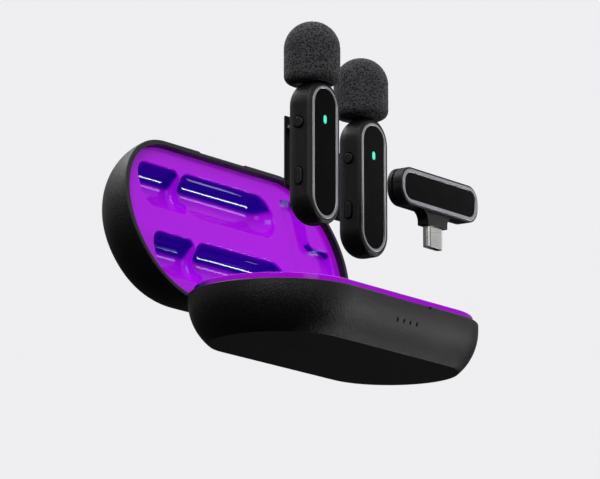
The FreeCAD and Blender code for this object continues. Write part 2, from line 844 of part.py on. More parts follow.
def port_block(grow, y_from, y_to):
    """The charging socket's outline as a slab along Y, standing on the board."""
    slab = facing_front(pill(port_width + 2 * grow, port_height + 2 * grow, y_to - y_from))
    slab = turned(slab, vec(0, 1, 0), 90)
    return moved(slab, 0, y_from, board_top + port_height / 2)


def indicator_window(grow, y_to):
    """One upright oval light window through the front wall, at x = 0."""
    slab = facing_front(pill(indicator_length + 2 * grow, indicator_width + 2 * grow,
                             y_to + case_width / 2))
    return moved(slab, 0, -case_width / 2, indicator_height)


def indicator_places():
    return [(index - (indicator_count - 1) / 2) * indicator_pitch for index in range(indicator_count)]


def base_wall_skin(inward):
    return domed_half(base_height, base_inset, base_curve, inward, inward, 0)


def make_base_shell():
    outer = domed_half(base_height, base_inset, base_curve, 0, 0, edge_break)
    cavity = base_wall_skin(case_wall)
    shell = outer.cut(cavity)
    ledge_top = base_height - skirt_depth
    ledge = pill_ring(case_wall / 2, case_wall + ledge_width, ledge_top - ledge_height, ledge_top)
    pieces = [shell, ledge]
    for x, y in board_corner_places():
        pieces.append(rod(boss_radius, boss_height + case_wall / 2, vec(x, y, case_wall / 2), vec(0, 0, 1)))
    shell = joined(pieces)
    tools = [thumb_notch(base_height - notch_height, base_height + 1)]
    for x, y in board_corner_places():
        depth = screw_length - case_board_thickness
        top = case_wall + boss_height
        tools.append(rod(screw_radius, depth, vec(x, y, top - depth), vec(0, 0, 1)))
    for x in indicator_places():
        tools.append(moved(indicator_window(seat_gap, 0), x))
    tools.append(port_block(seat_gap, case_width / 4, case_width))
    return with_hinge(without(shell, tools), "base", hinge_z - hinge_radius, base_height)


def make_lid_shell():
    """Made open side up like the base, then turned over on to it."""
    top = lid_height
    outer = domed_half(top, lid_inset, lid_curve, 0, 0, edge_break)
    cavity = domed_half(top, lid_inset, lid_curve, case_wall, case_wall, 0)
    ledge_top = top - lid_recess - deck_thickness
    ledge = pill_ring(case_wall / 2, case_wall + ledge_width, ledge_top - ledge_height, ledge_top)
    shell = turned(joined([outer.cut(cavity), ledge]), vec(1, 0, 0), 180)
    shell = moved(shell, 0, 0, lid_bottom + lid_height)
    shell = shell.cut(thumb_notch(lid_bottom - 1, lid_bottom + notch_height))
    return with_hinge(shell, "lid", lid_bottom, hinge_z + hinge_radius)


def round_ended_bore(start, end, radius, start_round, end_round):
    """A solid of revolution about X, from start to end, with a rounded edge at each end."""
    diagonal = math.sqrt(0.5)
    outline = []
    if radius > start_round:
        outline.append(Part.LineSegment(vec(start, 0, 0), vec(start, 0, radius - start_round)))
    outline.append(Part.Arc(
        vec(start, 0, radius - start_round),
        vec(start + start_round * (1 - diagonal), 0, radius - start_round * (1 - diagonal)),
        vec(start + start_round, 0, radius)))
    outline.append(Part.LineSegment(vec(start + start_round, 0, radius), vec(end - end_round, 0, radius)))
    outline.append(Part.Arc(
        vec(end - end_round, 0, radius),
        vec(end - end_round * (1 - diagonal), 0, radius - end_round * (1 - diagonal)),
        vec(end, 0, radius - end_round)))
    if radius > end_round:
        outline.append(Part.LineSegment(vec(end, 0, radius - end_round), vec(end, 0, 0)))
    outline.append(Part.LineSegment(vec(end, 0, 0), vec(start, 0, 0)))
    return turned_solid(outline, ORIGIN, vec(1, 0, 0))


def well_body(row_y, grow):
    """One transmitter well about a line along X: the foam pocket, and the body pocket,
    whose rounded end opens through the wall between them."""
    radius = well_radius + grow
    foam_part = round_ended_bore(well_start - grow, foam_wall + grow, radius,
                                 foam_far_round + grow, foam_near_round + grow)
    body_part = round_ended_bore(body_start - grow, body_end + grow, radius, radius, radius)
    return moved(joined([foam_part, body_part]), 0, row_y, 0)


def receiver_well(grow, lid_room):
    """Pocket for the lying receiver and its plug, both about the plane z = 0."""
    depth = rx_half + grow
    height = 2 * depth + lid_room
    column = rounded_plate(rx_pocket_x + 2 * grow, rx_pocket_y + 2 * grow,
                           rx_pocket_corner + grow, height)
    column = moved(column, (rx_pocket_start + rx_pocket_end) / 2, 0, -depth)
    half = rx_plug_pocket_width / 2 + grow
    reach = rx_plug_pocket + grow
    stem = rounded_plate(reach + rx_pocket_x / 2, 2 * half, rx_pocket_corner + grow, height)
    middle = rx_pocket_end + (reach - rx_pocket_x / 2) / 2
    pocket = joined([column, moved(stem, middle, 0, -depth)])
    side = rx_pocket_end + grow
    branch = [edge for edge in edges_on(pocket, "X", side)
              if edge.BoundBox.ZLength > depth and abs(abs(edge.BoundBox.YMin) - half) < 1e-4]
    return pocket.makeFillet(rx_inner_corner - grow, branch)


def all_wells(z, grow, lid_room):
    wells = [moved(well_body(y, grow), 0, 0, z) for y in row_places]
    return wells + [moved(receiver_well(grow, lid_room), 0, 0, z)]


def well_edges(tray, face_z):
    """The edges in the deck's face, without those of its outline."""
    margin = case_wall + ledge_width
    inner = []
    for edge in edges_on(tray, "Z", face_z):
        bounds = edge.BoundBox
        reach_x = max(abs(bounds.XMin), abs(bounds.XMax))
        reach_y = max(abs(bounds.YMin), abs(bounds.YMax))
        if reach_x < case_length / 2 - margin and reach_y < case_width / 2 - margin:
            inner.append(edge)
    return inner


def softened(tray, radius, edges):
    """The tray with these edges rounded by the radius, or by as much of it as they take."""
    for share in (1, 0.8, 0.6, 0.4):
        try:
            rounded = tray.makeFillet(radius * share, edges)
        except Part.OCCError:
            continue
        if rounded.isValid():
            return rounded
    return tray


def tray_from_deck(deck, wells_z, keep_below, face_z, lid_room):
    """Hangs the hollow wells under (or over) a deck plate and opens them through its face."""
    outer = joined(all_wells(wells_z, tray_wall, lid_room))
    half_space = block((-case_length, case_length), (-case_width, case_width), keep_below)
    tray = joined([deck, outer.common(half_space)])
    tray = without(tray, all_wells(wells_z, 0, lid_room))
    return softened(tray, well_edge_round, well_edges(tray, face_z))


def lying_contact_x():
    """Where a lying transmitter's contacts come in its well."""
    lying_top = foam_wall - foam_to_wall - foam_lap
    return lying_top + body_height - contact_height


def charging_pin_places():
    """X, Y of each spring pin and the height of the pad that it meets."""
    x = lying_contact_x()
    pad = base_height - body_depth / 2
    places = []
    for row in row_places:
        for side in (-contact_spacing / 2, contact_spacing / 2):
            places.append((x, row + side, pad))
    rx_middle = (rx_pocket_start + rx_pocket_end) / 2
    for side in (-contact_spacing / 2, contact_spacing / 2):
        places.append((rx_middle, side, base_height - rx_depth / 2))
    return places


def make_base_tray():
    inset = case_wall + tray_fit
    deck_low = base_height + lip_height - deck_thickness
    deck = moved(pill(case_length - 2 * inset, case_width - 2 * inset, deck_thickness), 0, 0, deck_low)
    deck = deck.makeFillet(edge_break, edges_on(deck, "Z", base_height + lip_height))
    skirt = pill_ring(inset, inset + tray_wall, base_height - skirt_depth, deck_low)
    tray = tray_from_deck(joined([deck, skirt]), base_height, (0, deck_low),
                          base_height + lip_height, 0)
    x = lying_contact_x()
    top = base_height - body_depth / 2 - saddle_drop
    saddles = [block((x - saddle_length / 2, x + saddle_length / 2),
                     (row - saddle_width / 2, row + saddle_width / 2),
                     (base_height - well_radius - tray_wall / 2, top)) for row in row_places]
    tray = joined([tray] + saddles)
    hole = charging_pin_radius + seat_gap
    holes = [rod(hole, base_height, vec(px, py, 0), vec(0, 0, 1)) for px, py, pad in charging_pin_places()]
    return without(tray, holes)


def make_lid_tray():
    inset = case_wall + tray_fit
    deck_low = lid_bottom + lid_recess
    deck = moved(pill(case_length - 2 * inset, case_width - 2 * inset, deck_thickness), 0, 0, deck_low)
    return tray_from_deck(deck, base_height, (deck_low, 2 * base_height), deck_low, rx_lid_room)


def make_case_board():
    right = case_length / 2 - case_board_end
    board = block((case_board_start, right), (-case_board_width / 2, case_board_width / 2),
                  (board_top - case_board_thickness, board_top))
    board = board.common(base_wall_skin(case_wall + case_board_gap))
    holes = [rod(screw_radius + seat_gap, 2 * board_top, vec(x, y, 0), vec(0, 0, 1))
             for x, y in board_corner_places()]
    return without(board, holes)


def make_board_screws():
    screws = []
    for x, y in board_corner_places():
        shank = rod(screw_radius, screw_length, vec(x, y, board_top - screw_length), vec(0, 0, 1))
        head = rod(screw_head_radius, screw_head_height, vec(x, y, board_top), vec(0, 0, 1))
        head = head.makeChamfer(screw_head_height / 4, edges_on(head, "Z", board_top + screw_head_height))
        slot = block((x - screw_head_radius, x + screw_head_radius),
                     (y - screw_radius / 3, y + screw_radius / 3),
                     (board_top + screw_head_height / 2, board_top + 2 * screw_head_height))
        screws.append(joined([shank, head]).cut(slot))
    return Part.Compound(screws)


def make_case_battery():
    left = -case_length / 2 + case_cell_start
    return block((left, left + case_cell_length), (-case_cell_width / 2, case_cell_width / 2),
                 (case_wall, case_wall + case_cell_thickness))


def make_charging_pins():
    return Part.Compound([rod(charging_pin_radius, pad - charging_pin_rest - board_top,
                              vec(x, y, board_top), vec(0, 0, 1)) for x, y, pad in charging_pin_places()])


def make_magnets(z):
    y = -case_width / 2 + case_wall + ledge_width + magnet_to_wall - magnet_width / 2
    return Part.Compound([block((x - magnet_length / 2, x + magnet_length / 2),
                                (y, y + magnet_width), (z, z + magnet_height))
                          for x in (-magnet_offset, magnet_offset)])


def make_indicator_windows():
    skin = domed_half(base_height, base_inset, base_curve, 0, 0, 0)
    window = indicator_window(0, -case_board_width / 2)
    return Part.Compound([moved(window, x).common(skin) for x in indicator_places()])


def make_indicator_board():
    y = -case_board_width / 2
    half = indicator_places()[-1] + indicator_board_margin
    top = indicator_height + indicator_board_margin
    return block((-half, half), (y, y + indicator_board_thickness), (board_top, top))


def port_back():
    """Y of the socket's mouth, just inside the curved back wall at its mid height."""
    return base_wall_y(board_top + port_height / 2, 0) - port_inset


def make_port_shell():
    mouth = port_back()
    shell = port_block(0, mouth - port_depth, mouth)
    return shell.cut(port_block(-port_wall, mouth - port_mouth_depth, mouth + 1))


def make_port_tongue():
    mouth = port_back()
    z = board_top + (port_height - port_tongue_height) / 2
    return block((-port_tongue_width / 2, port_tongue_width / 2),
                 (mouth - port_mouth_depth, mouth - port_inset), (z, z + port_tongue_height))


def make_hinge_pins():
    reach = lid_knuckle_length / 2 + hinge_side_gap + base_knuckle_length
    return Part.Compound([hinge_rod(hinge_pin_radius, middle - reach, middle + reach)
                          for middle in (-hinge_station, hinge_station)])


def case_pieces():
    lower_magnets = make_magnets(base_height + lip_height - deck_thickness - magnet_height)
    return {
        "base_shell": make_base_shell(),
        "base_tray": make_base_tray(),
        "base_magnets": lower_magnets,
        "case_circuit_board": make_case_board(),
        "case_board_screws": make_board_screws(),
        "case_battery": make_case_battery(),
        "charging_pins": make_charging_pins(),
        "indicator_windows": make_indicator_windows(),
        "indicator_board": make_indicator_board(),
        "charging_socket_shell": make_port_shell(),
        "charging_socket_tongue": make_port_tongue(),
        "hinge_pins": make_hinge_pins(),
    }


def lid_pieces():
    """The lid's pieces, swung open about the hinge."""
    upper_magnets = make_magnets(lid_bottom + lid_recess + deck_thickness)
    closed = {
        "lid_shell": make_lid_shell(),
        "lid_tray": make_lid_tray(),
        "lid_magnets": upper_magnets,
    }
    axis = vec(0, hinge_y, hinge_z)
    return {name: turned(shape, vec(1, 0, 0), -lid_open_angle, axis) for name, shape in closed.items()}


def all_pieces():
    pieces = case_pieces()
    pieces.update(lid_pieces())
    unit = transmitter_pieces()
    for number, (x, y) in enumerate(transmitter_places, start=1):
        for name, shape in unit.items():
            lift = windscreen_lifts[number - 1] if name == "windscreen" else 0
            pieces["transmitter_%d_%s" % (number, name)] = moved(shape, x, y, lift)
    for name, shape in receiver_pieces().items():
        pieces["receiver_" + name] = moved(shape, receiver_place[0], receiver_place[1], 0)
    return pieces


os.makedirs("parts", exist_ok=True)
for name, shape in all_pieces().items():
    for solid in shape.Solids:
        if not solid.isValid():
            raise ValueError("invalid solid in " + name)
    shape.exportStep("parts/%s.step" % name)
    box_size = shape.BoundBox
    print("%-34s solids %d  volume %9.2f  box %.1f..%.1f %.1f..%.1f %.1f..%.1f" % (
        name, len(shape.Solids), shape.Volume, box_size.XMin, box_size.XMax,
        box_size.YMin, box_size.YMax, box_size.ZMin, box_size.ZMax))
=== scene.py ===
# %% [markdown]
# # A clip-on wireless microphone kit
# This lesson dresses a small product: a hinged charging case, two clip-on transmitters with foam
# windscreens, and a receiver that plugs into a phone. The solid parts come from a CAD model that
# is already exact, so the work here is surfaces: mouldings that look moulded, foam that looks
# open, and thin metal trim that catches a line of light. We start by loading the CAD frame.

# %% Load the CAD frame
import bmesh
import bpy
import json
import math
import numpy as np
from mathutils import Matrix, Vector


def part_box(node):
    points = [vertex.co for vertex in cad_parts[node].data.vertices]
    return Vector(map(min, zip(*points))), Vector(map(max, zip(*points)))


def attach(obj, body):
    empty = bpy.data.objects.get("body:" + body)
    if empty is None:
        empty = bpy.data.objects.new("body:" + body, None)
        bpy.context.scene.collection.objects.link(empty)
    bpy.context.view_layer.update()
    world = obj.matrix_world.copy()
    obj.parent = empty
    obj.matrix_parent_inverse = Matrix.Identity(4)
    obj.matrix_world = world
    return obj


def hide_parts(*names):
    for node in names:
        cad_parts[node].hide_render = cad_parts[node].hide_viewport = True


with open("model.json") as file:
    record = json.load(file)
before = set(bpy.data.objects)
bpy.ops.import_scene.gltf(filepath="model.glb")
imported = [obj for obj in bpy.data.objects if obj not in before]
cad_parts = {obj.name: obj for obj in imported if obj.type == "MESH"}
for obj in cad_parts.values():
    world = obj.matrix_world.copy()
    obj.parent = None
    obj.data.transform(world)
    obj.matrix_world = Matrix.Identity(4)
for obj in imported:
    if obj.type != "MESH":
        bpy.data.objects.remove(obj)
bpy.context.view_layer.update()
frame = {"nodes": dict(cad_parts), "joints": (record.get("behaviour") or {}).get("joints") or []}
MM = 0.001

# %% [markdown]
# ## Camera
# A long lens keeps the pill shapes calm. A camera is placed most simply by its target, its
# distance and two angles, so a small function turns those into a location.

# %% Camera
# Lengths are in metres, apart from the lens, which counts in millimetres.
LOOKS_AT = (-14.15 * MM, 4.82 * MM, 40.32 * MM)
DISTANCE = 1.6
AZIMUTH, ELEVATION = -54.0, -12.06
FOCAL_LENGTH, SENSOR_WIDTH = 278.4, 36.0


def camera_location(target, distance, azimuth, elevation):
    """Target plus distance times the back vector: (sin a cos e, -cos a cos e, sin e)."""
    a, e = math.radians(azimuth), math.radians(elevation)
    back = Vector((math.sin(a) * math.cos(e), -math.cos(a) * math.cos(e), math.sin(e)))
    return Vector(target) + distance * back, back


scene = bpy.context.scene
location, back = camera_location(LOOKS_AT, DISTANCE, AZIMUTH, ELEVATION)
lens = bpy.data.cameras.new("kit_camera")
lens.lens = FOCAL_LENGTH
lens.sensor_width = SENSOR_WIDTH
lens.clip_start, lens.clip_end = 0.05, 20.0
camera = bpy.data.objects.new("kit_camera", lens)
camera.location = location
camera.rotation_mode = "QUATERNION"
camera.rotation_quaternion = (-back).to_track_quat("-Z", "Y")
scene.collection.objects.link(camera)
scene.camera = camera
scene.view_settings.view_transform = "Standard"
print("camera at", [round(v, 3) for v in location])

# %% [markdown]
# ## Small helpers for materials
# Every finish below is a node tree. Written out node by node such a tree is hard to read, so a
# few short functions wrap the nodes that come up again and again: Math, Map Range and Noise. Each
# takes sockets or plain numbers and hands back a socket, so a tree reads like a formula. Colours
# are written as linear numbers.

# %% Node helpers
def add_node(tree, kind, **inputs):
    """Adds one node and sets the named inputs (an underscore in a name stands for a space)."""
    node = tree.nodes.new(kind)
    for name, value in inputs.items():
        node.inputs[name.replace("_", " ")].default_value = value
    return node


def feed(tree, term, socket):
    """Links an input to the term where that is a socket, and else sets the input to it."""
    if isinstance(term, bpy.types.NodeSocket):
        tree.links.new(term, socket)
    else:
        socket.default_value = term


def maths(tree, operation, *terms):
    """The operation on its terms in order; MULTIPLY_ADD is first times second plus third."""
    node = add_node(tree, "ShaderNodeMath")
    node.operation = operation
    for term, socket in zip(terms, node.inputs):
        feed(tree, term, socket)
    return node.outputs[0]


def vector_maths(tree, operation, first, second):
    """The one number that two vectors give: their dot product, or the distance between them."""
    node = add_node(tree, "ShaderNodeVectorMath")
    node.operation = operation
    feed(tree, first, node.inputs[0])
    feed(tree, second, node.inputs[1])
    return node.outputs["Value"]


def ranged(tree, value, low, high, to_low=0.0, to_high=1.0, course="LINEAR"):
    """Carries low..high to to_low..to_high, straight or with soft ends, and holds still beyond."""
    node = add_node(tree, "ShaderNodeMapRange",
                    From_Min=low, From_Max=high, To_Min=to_low, To_Max=to_high)
    node.interpolation_type = course
    tree.links.new(value, node.inputs["Value"])
    return node.outputs["Result"]


def noise(tree, place, scale, **settings):
    """Noise of about 0..1 at a place; the scale is how many waves lie in a metre."""
    node = add_node(tree, "ShaderNodeTexNoise", **settings)
    tree.links.new(place, node.inputs["Vector"])
    feed(tree, scale, node.inputs["Scale"])
    return node.outputs["Fac"]


# %% [markdown]
# ## Mixing, bumping and groups
# Two more helpers end nearly every tree. One goes from one colour to another by a mask. The other
# sends a colour, a roughness and a height to the shader, the height through a bump whose depth is
# a true length, so that grain keeps its size on large and small pieces alike. The last two make a
# group and place it, because an effect that many materials share is best built once.

# %% Mix, bump and groups
FLOAT, VECTOR = "NodeSocketFloat", "NodeSocketVector"


def colour_mix(tree, low, high, factor):
    """Low times one minus the factor, plus high times the factor; each end a colour or a socket."""
    node = add_node(tree, "ShaderNodeMix")
    node.data_type = "RGBA"
    for end, socket in ((low, node.inputs[6]), (high, node.inputs[7])):
        feed(tree, end if isinstance(end, bpy.types.NodeSocket) else (*end, 1.0), socket)
    tree.links.new(factor, node.inputs["Factor"])
    return node.outputs[2]


def drive(tree, shader, colour, roughness, height=None, depth=0.0):
    """Feeds the shader's colour and roughness, and its normal from a height times the depth."""
    tree.links.new(colour, shader.inputs["Base Color"])
    feed(tree, roughness, shader.inputs["Roughness"])
    if height is not None:
        bump = add_node(tree, "ShaderNodeBump", Strength=1.0, Distance=depth)
        tree.links.new(height, bump.inputs["Height"])
        tree.links.new(bump.outputs["Normal"], shader.inputs["Normal"])


def new_group(name, inputs, outputs):
    """A node group with inputs given as (name, socket type, default) and outputs as names."""
    group = bpy.data.node_groups.new(name, "ShaderNodeTree")
    for label, kind, default in inputs:
        socket = group.interface.new_socket(name=label, in_out="INPUT", socket_type=kind)
        socket.default_value = default
    for label in outputs:
        group.interface.new_socket(name=label, in_out="OUTPUT", socket_type=FLOAT)
    return group, group.nodes.new("NodeGroupInput"), group.nodes.new("NodeGroupOutput")


def add_group(tree, group, **inputs):
    """Places a group in a tree, with its own values on the named inputs."""
    node = tree.nodes.new("ShaderNodeGroup")
    node.node_tree = group
    for name, value in inputs.items():
        node.inputs[name.replace("_", " ")].default_value = value
    return node


# %% [markdown]
# ## The moulded grain
# The cases of such kits are moulded in a spark-eroded tool, which leaves a very fine, even grain.
# It could be modelled as real bumps, but at less than half a millimetre that would take millions
# of faces. A noise in object coordinates does it better: it gives a height for the bump, and a
# slight change in roughness, so that a highlight breaks up into sparkles. The group is used by
# every moulding and every metal part, each with its own grain size.

# %% Grain group
FINER_GRAIN, FINER_SHARE = 2.3, 0.35
PEAKS_FROM, PEAKS_TO = 0.52, 0.74


def make_grain_group():
    """Height: noise at the grain's size mixed with a finer one. Roughness: the base value plus the
    spread times the height's distance from one half. Speckle: 0..1 on the highest peaks."""
    group, entry, leave = new_group(
        "moulded_grain",
        [("Grain", FLOAT, 2600.0), ("Roughness", FLOAT, 0.5), ("Spread", FLOAT, 0.12)],
        ["Height", "Roughness", "Speckle"])
    place = add_node(group, "ShaderNodeTexCoord").outputs["Object"]
    grain = entry.outputs["Grain"]
    blend = add_node(group, "ShaderNodeMix", Factor=FINER_SHARE)
    feed(group, noise(group, place, grain, Detail=2.0, Roughness=0.55), blend.inputs[2])
    finer = maths(group, "MULTIPLY", grain, FINER_GRAIN)
    feed(group, noise(group, place, finer, Detail=1.0, Roughness=0.5), blend.inputs[3])
    height = blend.outputs[0]
    centred = maths(group, "SUBTRACT", height, 0.5)
    moved = maths(group, "MULTIPLY_ADD", centred, entry.outputs["Spread"],
                  entry.outputs["Roughness"])
    feed(group, height, leave.inputs["Height"])
    feed(group, moved, leave.inputs["Roughness"])
    feed(group, ranged(group, height, PEAKS_FROM, PEAKS_TO), leave.inputs["Speckle"])
    return group


GRAIN = make_grain_group()
print("shared group:", GRAIN.name)

# %% [markdown]
# ## Handling marks
# A product that has been in a hand for five minutes is never evenly glossy. Broad soft patches, a
# few centimetres across, move the roughness a little, and a sparse layer of dust lifts the
# darkest plastic by a hair. This is the second shared group, and nearly every finish takes a
# little of it.

# %% Handling group
PATCH_FROM, PATCH_TO = 0.38, 0.66
SPECK_EDGE, SPECK_HEART = 0.16, 0.04
DUST_LIES_FROM = 0.2


def make_handling_group():
    """Patch: large soft noise, mapped to 0..1. Dust: small specks times the upward part of the
    normal, each mapped to 0..1."""
    group, entry, leave = new_group(
        "handling", [("Patch size", FLOAT, 55.0), ("Dust size", FLOAT, 1400.0)], ["Patch", "Dust"])
    place = add_node(group, "ShaderNodeTexCoord")
    soft = noise(group, place.outputs["Object"], entry.outputs["Patch size"],
                 Detail=3.0, Roughness=0.6)
    specks = add_node(group, "ShaderNodeTexVoronoi")
    feed(group, place.outputs["Object"], specks.inputs["Vector"])
    feed(group, entry.outputs["Dust size"], specks.inputs["Scale"])
    near = ranged(group, specks.outputs["Distance"], SPECK_EDGE, SPECK_HEART)
    upward = add_node(group, "ShaderNodeSeparateXYZ")
    feed(group, place.outputs["Normal"], upward.inputs["Vector"])
    lies = ranged(group, upward.outputs["Z"], DUST_LIES_FROM, 1.0)
    feed(group, ranged(group, soft, PATCH_FROM, PATCH_TO), leave.inputs["Patch"])
    feed(group, maths(group, "MULTIPLY", near, lies), leave.inputs["Dust"])
    return group


HANDLING = make_handling_group()
print("shared group:", HANDLING.name)

# %% [markdown]
# ## Black mouldings
# The case shells and the units' housings share one black, slightly warm plastic. The grain on the
# large case reads a little coarser than on the small units, so each gets its own size. One
# function makes them all from the two groups: the grain's peaks and the dust are lighter than the
# ground, and the patches that are handled most are a touch smoother.

# %% Black finishes
GRAIN_SPREAD, HANDLED_SMOOTHER = 0.14, -0.06
BLACK_SHINE = 0.32


def start_material(name, colour, metallic=0.0, shine=None):
    """A Principled material with plain numbers on its sockets, its tree and its shader."""
    material = bpy.data.materials.new(name)
    material.use_nodes = True
    material.diffuse_color = (*colour, 1.0)
    tree = material.node_tree
    shader = tree.nodes["Principled BSDF"]
    shader.inputs["Base Color"].default_value = (*colour, 1.0)
    shader.inputs["Metallic"].default_value = metallic
    if shine is not None:
        shader.inputs["Specular IOR Level"].default_value = shine
    return material, tree, shader


def moulded_plastic(name, dark, light, roughness, grain, depth):
    """Colour from dark to light by the larger of peaks and dust; bump by the grain's height."""
    material, tree, shader = start_material(name, dark, shine=BLACK_SHINE)
    grained = add_group(tree, GRAIN, Grain=grain, Roughness=roughness, Spread=GRAIN_SPREAD)
    marks = add_group(tree, HANDLING)
    peaks = maths(tree, "MAXIMUM", grained.outputs["Speckle"], marks.outputs["Dust"])
    worn = maths(tree, "MULTIPLY_ADD", marks.outputs["Patch"], HANDLED_SMOOTHER,
                 grained.outputs["Roughness"])
    drive(tree, shader, colour_mix(tree, dark, light, peaks), worn,
          grained.outputs["Height"], depth)
    return material


# Each row holds the name, the ground, the peaks, the roughness, the grains in a metre, the depth.
CASE_BLACK, UNIT_BLACK, BUTTON_BLACK, CLIP_BLACK, LINER_BLACK = (moulded_plastic(*row) for row in (
    ("case_black", (0.0038, 0.0036, 0.0044), (0.026, 0.025, 0.029), 0.38, 2300.0, 0.22 * MM),
    ("unit_black", (0.0040, 0.0038, 0.0046), (0.030, 0.029, 0.033), 0.36, 2700.0, 0.18 * MM),
    ("button_black", (0.010, 0.010, 0.011), (0.030, 0.030, 0.033), 0.36, 4200.0, 0.02 * MM),
    ("clip_black", (0.012, 0.012, 0.013), (0.026, 0.026, 0.028), 0.34, 3800.0, 0.02 * MM),
    ("liner_black", (0.010, 0.010, 0.011), (0.022, 0.022, 0.024), 0.5, 4000.0, 0.02 * MM)))
print("black finishes:", CASE_BLACK.name, UNIT_BLACK.name, BUTTON_BLACK.name, CLIP_BLACK.name)

# %% [markdown]
# ## The purple trays
# The wells are moulded in a glossy, fully saturated purple. Inside each well the wall that turns
# towards the hinge is painted a dark indigo, and the floor a touch darker purple with its depth:
# both are painted shade, standing in for the shadow such walls and floors would take. They are
# worked out from the surface normal and from the depth under the deck, both in object coordinates,
# so they stay put when the lid moves or the view turns. In the closed lid the wells lead straight
# up. The lid is modelled open, so its directions are turned back by the hinge's whole travel.

# %% Directions of the open lid
lid_hinge = next(j for j in frame["joints"] if j["name"] == "lid_hinge")
opened = math.radians(lid_hinge["range_deg"][1])
LID_TOWARD = Vector((0, math.cos(opened), -math.sin(opened)))
LID_INTO = Vector((0, math.sin(opened), math.cos(opened)))
BASE_TOWARD, BASE_INTO = Vector((0, 1, 0)), Vector((0, 0, -1))


def mesh_points(mesh):
    """All vertices of a mesh as rows of x, y, z."""
    flat = np.zeros(3 * len(mesh.vertices))
    mesh.vertices.foreach_get("co", flat)
    return flat.reshape(-1, 3)


base_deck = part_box("base_tray")[1].z
lid_deck = float((mesh_points(frame["nodes"]["lid_tray"].data) @ np.array(LID_INTO)).min())
past_hinge = lid_deck - Vector(lid_hinge["pos_m"]).dot(LID_INTO)
print("lid opened by", round(math.degrees(opened), 1), "degrees; base deck at",
      round(base_deck / MM, 2), "mm, lid deck", round(past_hinge / MM, 2), "mm past the hinge")

# %% [markdown]
# ## The wells' painted shade
# Paint masks could be drawn by hand, but a rule is shorter and fits every well: the indigo painted
# shade lies on a wall where its normal turns far enough towards the hinge, and only under the deck,
# so that the rounded rim stays purple. A second mask follows the depth, for a painted shade that
# makes the floor a touch darker.

# %% Purple tray
# The indigo and the lower purple are painted shade: indigo on the walls turned towards the hinge,
# the lower purple further down in the wells.
PURPLE, PURPLE_FLOOR_SHADE, INDIGO_PAINTED_SHADE = (0.57, 0.005, 0.97), (0.54, 0.006, 0.94), (0.030, 0.001, 0.40)
WALL_SHADE_FROM, WALL_SHADE_TO = 0.24, 0.46
RIM_FROM, RIM_TO = 0.2 * MM, 0.9 * MM
FLOOR_SHADE_FROM, FLOOR_SHADE_TO = 1.0 * MM, 8.0 * MM
TRAY_SMOOTH, TRAY_HANDLED, TRAY_SHINE = 0.04, 0.07, 0.14
TRAY_GRAIN, TRAY_GRAIN_DEPTH = 900.0, 0.003 * MM


def make_well_shade_group():
    """Wall shade: the normal's part towards the hinge, 0..1, times 0..1 for being under the deck;
    it places the painted shade on the walls.
    Floor shade: the place's part along the way into the well, less the deck's, as 0..1; it places
    the painted shade that darkens the floor."""
    group, entry, leave = new_group(
        "well_painted_shade",
        [("Toward", VECTOR, BASE_TOWARD), ("Into", VECTOR, BASE_INTO), ("Deck", FLOAT, 0.0)],
        ["Steep", "Floor shade"])
    place = add_node(group, "ShaderNodeTexCoord")
    turned = vector_maths(group, "DOT_PRODUCT", place.outputs["Normal"], entry.outputs["Toward"])
    sunk = vector_maths(group, "DOT_PRODUCT", place.outputs["Object"], entry.outputs["Into"])
    under = maths(group, "SUBTRACT", sunk, entry.outputs["Deck"])
    # Painted shade on the walls that turn towards the hinge, only under the deck so that the rim
    # stays purple.
    wall_shade = ranged(group, turned, WALL_SHADE_FROM, WALL_SHADE_TO, course="SMOOTHSTEP")
    below = ranged(group, under, RIM_FROM, RIM_TO, course="SMOOTHSTEP")
    # Painted shade on the floor: darker the further it lies into the well.
    floor_shade = ranged(group, under, FLOOR_SHADE_FROM, FLOOR_SHADE_TO, course="SMOOTHSTEP")
    feed(group, maths(group, "MULTIPLY", wall_shade, below), leave.inputs["Steep"])
    feed(group, floor_shade, leave.inputs["Floor shade"])
    return group


def purple_tray(name, toward, into, deck):
    """Purple with painted shade: a touch darker with the depth, and indigo on the walls that turn
    towards the hinge.
    """
    material, tree, shader = start_material(name, PURPLE, shine=TRAY_SHINE)
    well = add_group(tree, WELL_PAINTED_SHADE, Toward=toward, Into=into, Deck=deck)
    marks = add_group(tree, HANDLING)
    grained = add_group(tree, GRAIN, Grain=TRAY_GRAIN)
    # Painted shade: the floor turns a touch darker with its depth.
    floor = colour_mix(tree, PURPLE, PURPLE_FLOOR_SHADE, well.outputs["Floor shade"])
    gloss = ranged(tree, marks.outputs["Patch"], 0.0, 1.0, TRAY_SMOOTH, TRAY_HANDLED)
    # Painted shade: indigo on the walls that turn towards the hinge.
    drive(tree, shader, colour_mix(tree, floor, INDIGO_PAINTED_SHADE, well.outputs["Steep"]), gloss,
          grained.outputs["Height"], TRAY_GRAIN_DEPTH)
    return material


WELL_PAINTED_SHADE = make_well_shade_group()
LID_PURPLE = purple_tray("lid_purple", LID_TOWARD, LID_INTO, lid_deck)
BASE_PURPLE = purple_tray("base_purple", BASE_TOWARD, BASE_INTO, -base_deck)
print("tray finishes:", LID_PURPLE.name, BASE_PURPLE.name)

# %% [markdown]
# ## Trim and panels
# The thin frame round each front is satin anodised metal, and the panel inside it is a dark,
# polished window. Steel, gold and nickel parts inside take the same satin function with their own
# colours. A panel that is truly black would look cut out, so it keeps a low shine and faint wipe
# marks.

# %% Trim and panel
METAL_SPREAD, METAL_GRAIN_DEPTH, HANDLED_DARKER = 0.18, 0.008 * MM, 0.86
WIPE_SIZE, WIPE_STEP = 150.0, 0.03
PANEL_IOR, DUSTY_TIMES = 1.2, 2.0


